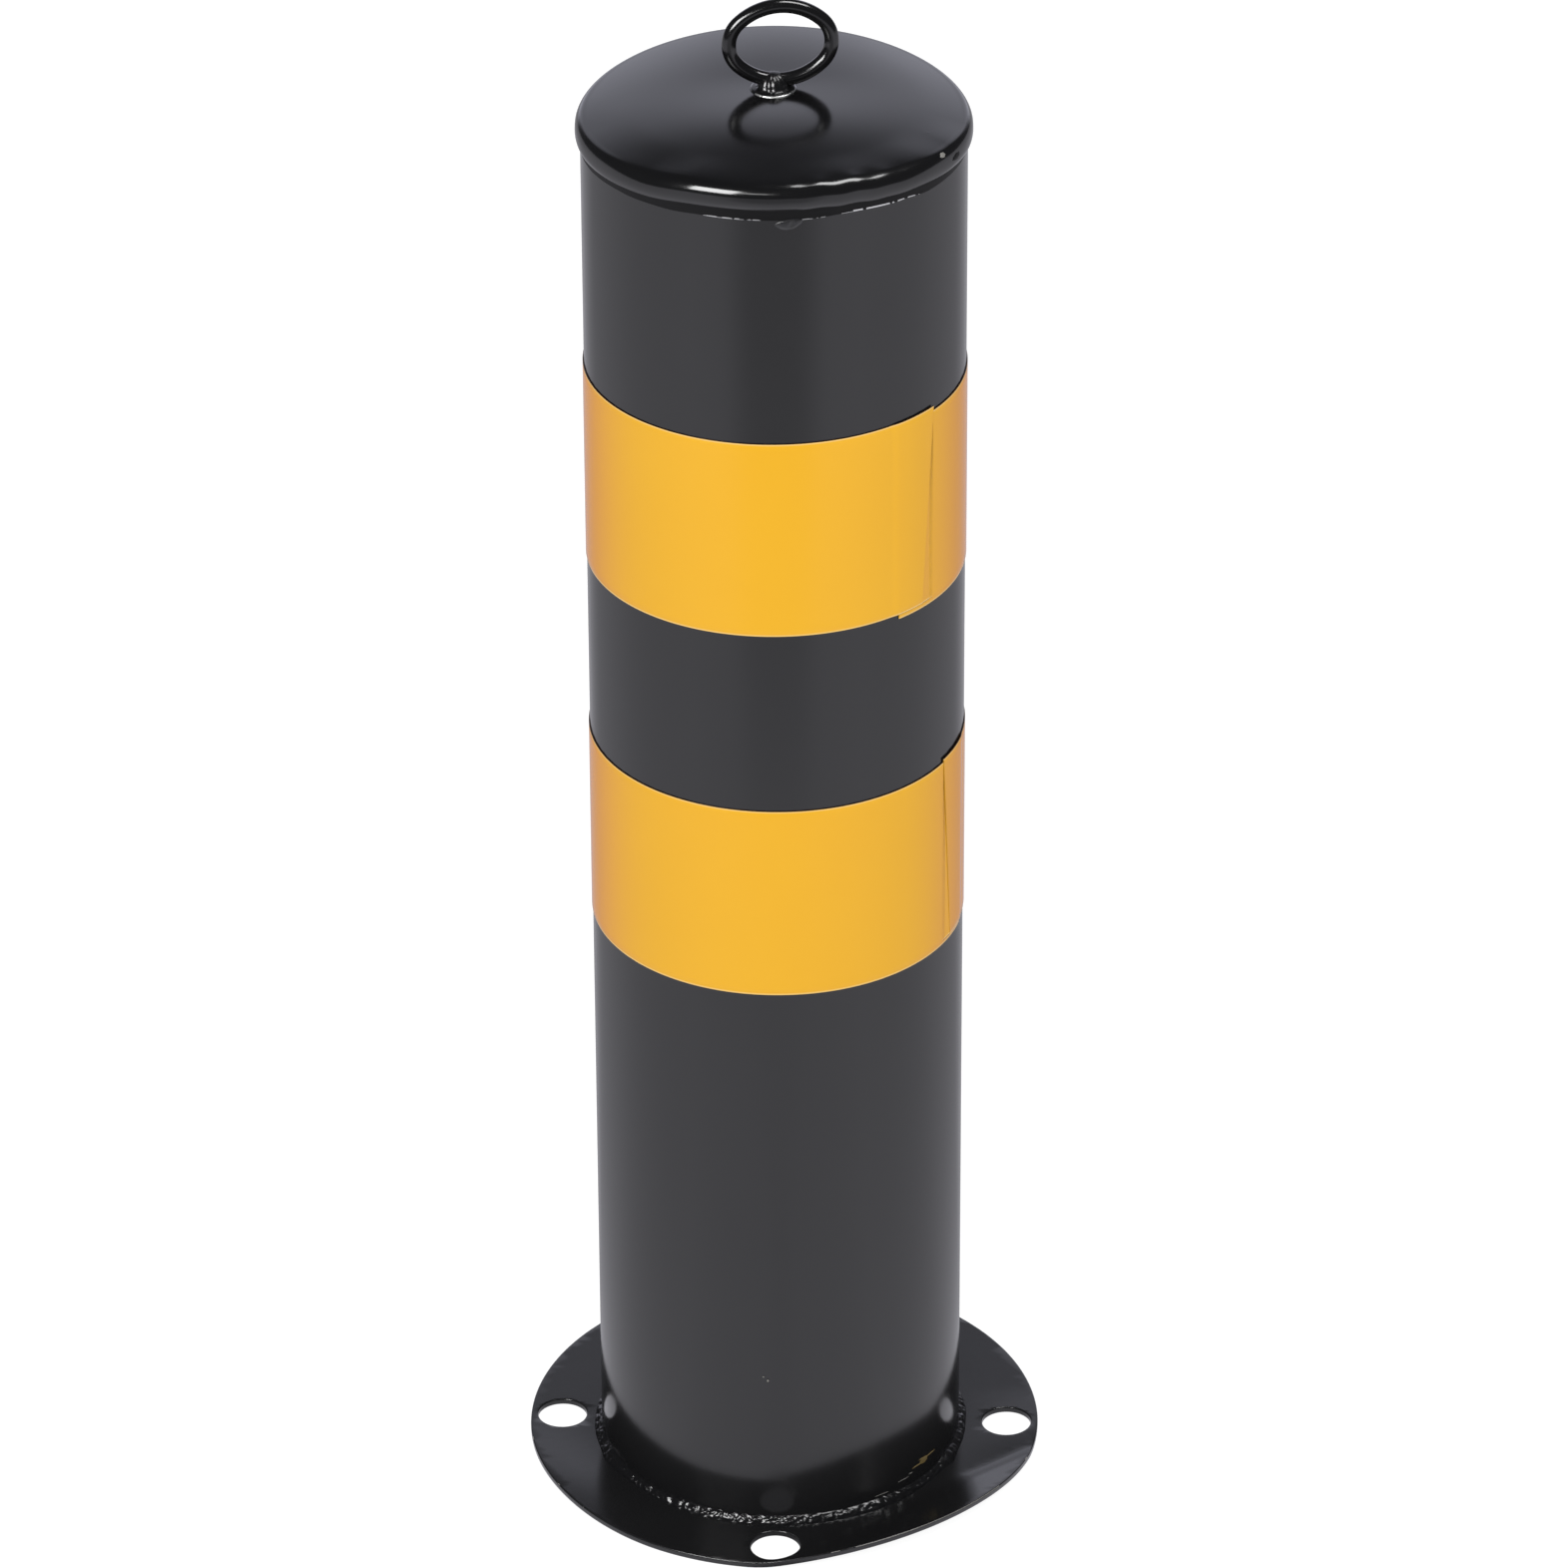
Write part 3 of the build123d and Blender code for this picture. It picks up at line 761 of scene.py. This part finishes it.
# Studio: white paper floor and wall, dim overhead, with soft boxes at the front left, a strip lamp at the
# right and a soft key in front
studio = {
    "floorSize": 6,
    "floorGlow": 0.92,
    "floorColour": "#898989",
    "ambient": 0.55,
    "floorSheen": (  # how bright the floor mirrors in the gloss, by degrees round from the front
        (0, 0.97), (50, 1.0), (80, 0.84), (105, 0.7), (135, 0.44), (180, 0.55)),
    "shade": {"start": 0.2, "spread": 0.62, "from": 0.42, "near": 0.03, "far": 0.42, "reach": 0.85},
    "frontHole": {"place": 0.071, "spread": 0.02, "dim": 0.75},  # the floor mirrors darker through it
    "tint": (0.98, 0.97, 1.05, 1),  # of the floor as the gloss shows it
    "wallTint": (0.98, 0.99, 1.14, 1),
    "wallGlow": (
        (0, 1.3), (8, 1.2), (15, 1.02), (20, 0.95), (24, 0.79), (27, 0.67), (29, 0.57), (31, 0.46),
        (33, 0.36), (36, 0.2), (39, 0.12), (45, 0.08)),
    "wallEnds": (0.4, 0.67),  # sideways over depth, where the wall fades out
    "overhead": 0.06,
    "patch": {"azimuth": 9, "dim": 0.5, "dimTop": 18, "bright": 1.1, "brightAt": 29, "brightSpread": 5},
}


def setStops(colourRamp, points, span):  # a soft curve through (place, level) points
    for k, (place, level) in enumerate(points):
        stop = colourRamp.elements[k] if k < 2 else colourRamp.elements.new(place / span)
        stop.position = place / span
        stop.color = (level, level, level, 1)


def makeFloor(look):
    mesh = bmesh.new()
    bmesh.ops.create_grid(mesh, x_segments=1, y_segments=1, size=look["floorSize"])
    data = bpy.data.meshes.new("studio_floor")
    mesh.to_mesh(data)
    mesh.free()
    floor = bpy.data.objects.new("studio_floor", data)
    floor.location.z = -0.05 * mm
    scene.collection.objects.link(floor)
    material = bpy.data.materials.new("matt white paper")
    material.use_nodes = True
    tree = material.node_tree
    shader = tree.nodes["Principled BSDF"]
    shader.inputs["Base Color"].default_value = linear(look["floorColour"])
    shader.inputs["Roughness"].default_value = 1
    shader.inputs["Specular IOR Level"].default_value = 0
    place = addNode(tree, "ShaderNodeTexCoord").outputs["Object"]
    toFront = addNode(tree, "ShaderNodeVectorMath", {
        "operation": "DOT_PRODUCT", 1: front(0)}, {0: place}).outputs["Value"]
    toSide = addNode(tree, "ShaderNodeVectorMath", {
        "operation": "DOT_PRODUCT", 1: front(90)}, {0: place}).outputs["Value"]
    offSide = addNode(tree, "ShaderNodeMath", {"operation": "ABSOLUTE"}, {0: toSide}).outputs["Value"]
    turned = addNode(tree, "ShaderNodeMath", {"operation": "ARCTAN2"}, {
        0: offSide, 1: toFront}).outputs["Value"]
    turnShare = addNode(tree, "ShaderNodeMath", {"operation": "DIVIDE", 1: math.pi}, {0: turned})
    sheen = addNode(tree, "ShaderNodeValToRGB", {}, {"Fac": turnShare.outputs["Value"]})
    setStops(sheen.color_ramp, look["floorSheen"], 180)
    shade = look["shade"]  # the darker wedge of floor in front, which the gloss mirrors
    pastStart = addNode(tree, "ShaderNodeMath", {"operation": "SUBTRACT", 1: shade["start"]}, {0: toFront})
    wedge = addNode(tree, "ShaderNodeMath", {"operation": "MULTIPLY", 1: shade["spread"]}, {
        0: pastStart.outputs["Value"]})
    width = addNode(tree, "ShaderNodeMath", {"operation": "MAXIMUM", 1: 0.02}, {
        0: wedge.outputs["Value"]})
    offWedge = addNode(tree, "ShaderNodeMath", {"operation": "DIVIDE"}, {
        0: offSide, 1: width.outputs["Value"]})
    inside = addNode(tree, "ShaderNodeMapRange", {
        "interpolation_type": "SMOOTHERSTEP", "From Min": 0.3, "From Max": 1.5,
        "To Min": 1, "To Max": 0}, {"Value": offWedge.outputs["Value"]})
    depth = addNode(tree, "ShaderNodeMapRange", {
        "From Min": shade["from"], "From Max": shade["reach"], "To Min": shade["near"],
        "To Max": shade["far"]}, {"Value": toFront})
    darkened = addNode(tree, "ShaderNodeMath", {"operation": "MULTIPLY"}, {
        0: inside.outputs["Result"], 1: depth.outputs["Result"]})
    kept = addNode(tree, "ShaderNodeMath", {"operation": "SUBTRACT", 0: 1}, {1: darkened.outputs["Value"]})
    hole = look["frontHole"]
    away = addNode(tree, "ShaderNodeVectorMath", {
        "operation": "DISTANCE", 1: front(0) * hole["place"]}, {0: place})
    dimmed = addNode(tree, "ShaderNodeMapRange", {
        "interpolation_type": "SMOOTHSTEP", "From Min": hole["spread"] * 0.5, "From Max": hole["spread"],
        "To Min": 1 - hole["dim"], "To Max": 1}, {"Value": away.outputs["Value"]})
    shone = addNode(tree, "ShaderNodeMath", {"operation": "MULTIPLY"}, {
        0: sheen.outputs["Color"], 1: dimmed.outputs["Result"]})
    mirrored = addNode(tree, "ShaderNodeMath", {"operation": "MULTIPLY"}, {
        0: shone.outputs["Value"], 1: kept.outputs["Value"]})
    rays = addNode(tree, "ShaderNodeLightPath")
    glow = addNode(tree, "ShaderNodeMix", {"data_type": "FLOAT", 2: look["floorGlow"]}, {
        "Factor": rays.outputs["Is Glossy Ray"], 3: mirrored.outputs["Value"]})
    dark = addNode(tree, "ShaderNodeMix", {
        "data_type": "RGBA", 6: linear(look["floorColour"]), 7: (0, 0, 0, 1)}, {
        "Factor": rays.outputs["Is Glossy Ray"]})
    soft = addNode(tree, "ShaderNodeMix", {"data_type": "FLOAT", 3: look["ambient"]}, {
        "Factor": rays.outputs["Is Diffuse Ray"], 2: glow.outputs[0]})
    tree.links.new(dark.outputs[2], shader.inputs["Base Color"])
    tinted = addNode(tree, "ShaderNodeMix", {
        "data_type": "RGBA", 6: (1, 1, 1, 1), 7: look["tint"]}, {"Factor": rays.outputs["Is Glossy Ray"]})
    tree.links.new(tinted.outputs[2], shader.inputs["Emission Color"])
    tree.links.new(soft.outputs[0], shader.inputs["Emission Strength"])
    data.materials.append(material)


def makeWorld(look):
    world = bpy.data.worlds.new("studio")
    scene.world = world
    world.use_nodes = True
    tree = world.node_tree
    background = tree.nodes["Background"]
    out = addNode(tree, "ShaderNodeTexCoord").outputs["Generated"]
    toBack = addNode(tree, "ShaderNodeVectorMath", {
        "operation": "DOT_PRODUCT", 1: front(180)}, {0: out}).outputs["Value"]
    toSide = addNode(tree, "ShaderNodeVectorMath", {
        "operation": "DOT_PRODUCT", 1: front(90)}, {0: out}).outputs["Value"]
    up = addNode(tree, "ShaderNodeSeparateXYZ", {}, {"Vector": out}).outputs["Z"]
    # the wall stands behind, so its top edge is level: height over depth, not height alone
    depth = addNode(tree, "ShaderNodeMath", {"operation": "MAXIMUM", 1: 0.05}, {0: toBack}).outputs["Value"]
    slope = addNode(tree, "ShaderNodeMath", {"operation": "DIVIDE"}, {0: up, 1: depth})
    rise = addNode(tree, "ShaderNodeMath", {"operation": "ARCTANGENT"}, {0: slope.outputs["Value"]})
    height = addNode(tree, "ShaderNodeMath", {"operation": "MULTIPLY", 1: 180 / math.pi}, {
        0: rise.outputs["Value"]}).outputs["Value"]
    heightShare = addNode(tree, "ShaderNodeMath", {"operation": "DIVIDE", 1: 60}, {0: height})
    wall = addNode(tree, "ShaderNodeValToRGB", {}, {"Fac": heightShare.outputs["Value"]})
    setStops(wall.color_ramp, look["wallGlow"], 60)
    patch = look["patch"]  # the middle of the wall is dimmer low down and brighter at its top
    bearing = addNode(tree, "ShaderNodeMath", {"operation": "ARCTAN2"}, {0: toSide, 1: toBack})
    offMiddle = addNode(tree, "ShaderNodeMath", {
        "operation": "MULTIPLY", 1: 180 / math.pi / patch["azimuth"]}, {
        0: bearing.outputs["Value"]}).outputs["Value"]
    offTop = addNode(tree, "ShaderNodeMapRange", {
        "clamp": False, "From Min": patch["brightAt"],
        "From Max": patch["brightAt"] + patch["brightSpread"]}, {"Value": height}).outputs["Result"]
    bells = []
    for away in (offMiddle, offTop):  # each fades out as a bell curve
        squared = addNode(tree, "ShaderNodeMath", {"operation": "MULTIPLY"}, {0: away, 1: away})
        negative = addNode(tree, "ShaderNodeMath", {"operation": "MULTIPLY", 1: -1}, {
            0: squared.outputs["Value"]})
        bells.append(addNode(tree, "ShaderNodeMath", {"operation": "EXPONENT"}, {
            0: negative.outputs["Value"]}).outputs["Value"])
    low = addNode(tree, "ShaderNodeMapRange", {
        "interpolation_type": "SMOOTHSTEP", "From Min": patch["dimTop"], "From Max": patch["dimTop"] + 6,
        "To Min": patch["dim"], "To Max": 0}, {"Value": height})
    high = addNode(tree, "ShaderNodeMath", {"operation": "MULTIPLY", 1: patch["bright"]}, {0: bells[1]})
    upright = addNode(tree, "ShaderNodeMath", {"operation": "SUBTRACT"}, {
        0: high.outputs["Value"], 1: low.outputs["Result"]})
    change = addNode(tree, "ShaderNodeMath", {"operation": "MULTIPLY_ADD", 2: 1}, {
        0: bells[0], 1: upright.outputs["Value"]})
    lit = addNode(tree, "ShaderNodeMath", {"operation": "MULTIPLY"}, {
        0: wall.outputs["Color"], 1: change.outputs["Value"]})
    offSide = addNode(tree, "ShaderNodeMath", {"operation": "ABSOLUTE"}, {0: toSide})
    sideways = addNode(tree, "ShaderNodeMath", {"operation": "DIVIDE"}, {
        0: offSide.outputs["Value"], 1: depth})
    ends = addNode(tree, "ShaderNodeMapRange", {
        "interpolation_type": "SMOOTHSTEP", "From Min": look["wallEnds"][0],
        "From Max": look["wallEnds"][1], "To Min": 1, "To Max": 0}, {"Value": sideways.outputs["Value"]})
    behind = addNode(tree, "ShaderNodeMapRange", {
        "interpolation_type": "SMOOTHSTEP", "From Min": -0.1, "From Max": 0.2}, {"Value": toBack})
    shownWall = addNode(tree, "ShaderNodeMath", {"operation": "MULTIPLY"}, {
        0: behind.outputs["Result"], 1: ends.outputs["Result"]})
    level = addNode(tree, "ShaderNodeMix", {"data_type": "FLOAT", 2: look["overhead"]}, {
        "Factor": shownWall.outputs["Value"], 3: lit.outputs["Value"]})
    rays = addNode(tree, "ShaderNodeLightPath")
    soft = addNode(tree, "ShaderNodeMix", {"data_type": "FLOAT", 3: look["ambient"]}, {
        "Factor": rays.outputs["Is Diffuse Ray"], 2: level.outputs[0]})
    shown = addNode(tree, "ShaderNodeMix", {"data_type": "FLOAT", 3: 1}, {
        "Factor": rays.outputs["Is Camera Ray"], 2: soft.outputs[0]})
    tinted = addNode(tree, "ShaderNodeMix", {
        "data_type": "RGBA", 6: (1, 1, 1, 1), 7: look["wallTint"]}, {
        "Factor": rays.outputs["Is Glossy Ray"]})
    tree.links.new(tinted.outputs[2], background.inputs["Color"])
    tree.links.new(shown.outputs[0], background.inputs["Strength"])


softLamps = {  # azimuth and elevation as seen from the aimed height on the post's axis
    "key": {
        "azimuth": -8, "elevation": 40, "distance": 2.4, "aim": 0.24, "size": (1.6, 1.6), "power": 28,
        "gloss": False, "matt": True},
    "softboxLeft": {
        "azimuth": -37, "elevation": 29, "distance": 0.95, "aim": 0.465, "size": (0.44, 0.4), "power": 11.5,
        "gloss": True, "matt": False},
    "softboxFront": {
        "azimuth": -13, "elevation": 29, "distance": 0.95, "aim": 0.465, "size": (0.3, 0.08), "power": 0.6,
        "gloss": True, "matt": False},
    "stripRight": {
        "azimuth": 86, "elevation": 67, "distance": 1.1, "aim": 0.465, "size": (0.35, 0.6), "power": 9.2,
        "gloss": True, "matt": False},
}


def makeLamps(lamps):
    for name, lamp in lamps.items():
        data = bpy.data.lights.new(name, "AREA")
        data.shape = "RECTANGLE"
        data.size, data.size_y = lamp["size"]
        data.energy = lamp["power"]
        light = bpy.data.objects.new(name, data)
        lift = math.radians(lamp["elevation"])
        away = front(lamp["azimuth"]) * math.cos(lift) + Vector((0, 0, math.sin(lift)))
        light.location = tubeCentre + Vector((0, 0, lamp["aim"])) + away * lamp["distance"]
        light.rotation_euler = away.to_track_quat("Z", "Y").to_euler()
        light.visible_camera = False
        light.visible_glossy = lamp["gloss"]
        light.visible_diffuse = lamp["matt"]
        scene.collection.objects.link(light)


makeFloor(studio)
makeWorld(studio)
makeLamps(softLamps)
print("studio ready")
